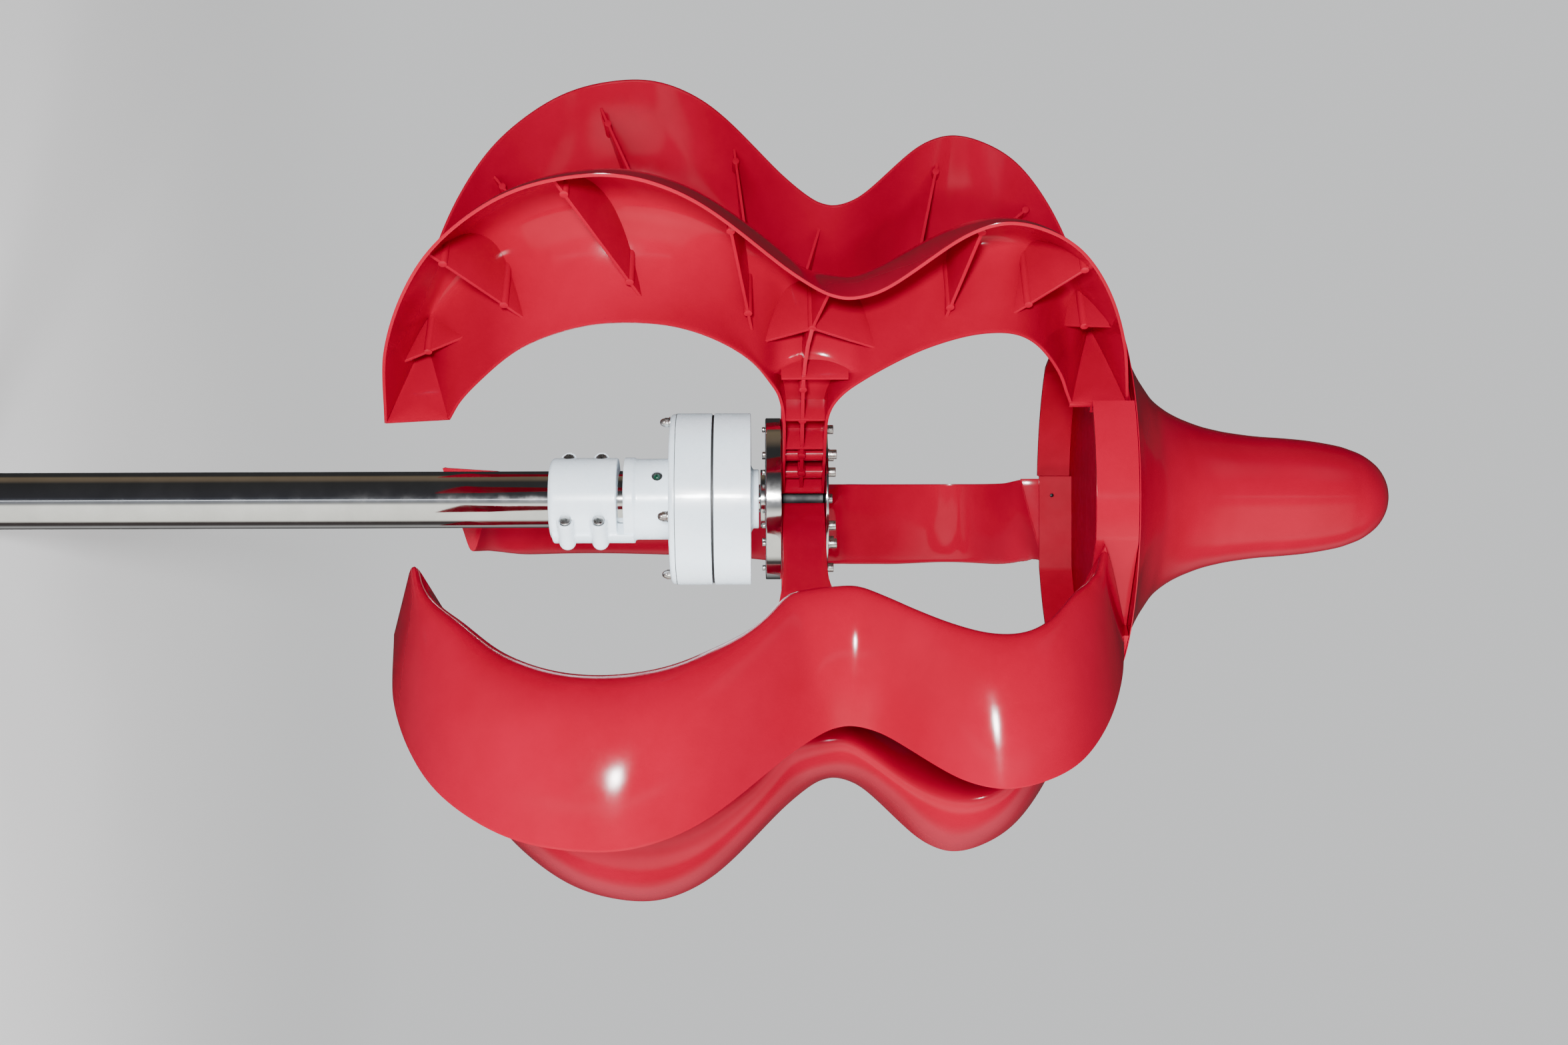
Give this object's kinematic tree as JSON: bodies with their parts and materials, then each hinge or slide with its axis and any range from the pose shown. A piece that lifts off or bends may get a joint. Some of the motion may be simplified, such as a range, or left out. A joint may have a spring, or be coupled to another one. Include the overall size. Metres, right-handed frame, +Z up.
{
  "type": "vertical axis wind turbine",
  "caption": "Mast-top vertical axis wind turbine: scoop blades on a bolted hub, joined above by a ring under a trumpet nose, over a drum generator.",
  "frame": {"origin": "centre of the mast foot's flat underside", "axes": "+Z up along the mast and the rotor's axis, -Y towards the pictured side, +X to the right seen from there"},
  "size_m": [0.793, 0.766, 1.2925],
  "materials": {
    "red_nylon": "gloss moulded nylon, crimson",
    "white_coat": "cool white powder coat, semi-gloss",
    "polished_steel": "polished stainless steel",
    "zinc_plate": "zinc-plated steel, satin",
    "black_seal": "matt black seal",
    "green_plug": "dark green translucent-looking plug"
  },
  "bodies": {
    "mast": {"mast_foot": "zinc_plate", "mast_tube": "polished_steel", "clamp_sleeve": "white_coat", "generator_neck": "white_coat", "status_plug": "green_plug", "generator_cover": "white_coat", "generator_lower": "white_coat", "generator_seam": "black_seal", "generator_upper": "white_coat"},
    "rotor": {"hub_collar": "polished_steel", "lower_flange": "polished_steel", "hub_core": "polished_steel", "upper_disc": "polished_steel", "blade_a": "red_nylon", "blade_b": "red_nylon", "blade_c": "red_nylon", "blade_d": "red_nylon", "blade_e": "red_nylon", "top_ring": "red_nylon", "ring_plate": "red_nylon", "nose_fairing": "red_nylon"}
  },
  "joints": [
    {"name": "rotor_spin", "type": "hinge", "parent": "mast", "child": "rotor", "pos_m": [0, 0, 0.73], "axis": [0, 0, 1], "continuous": true}
  ]
}
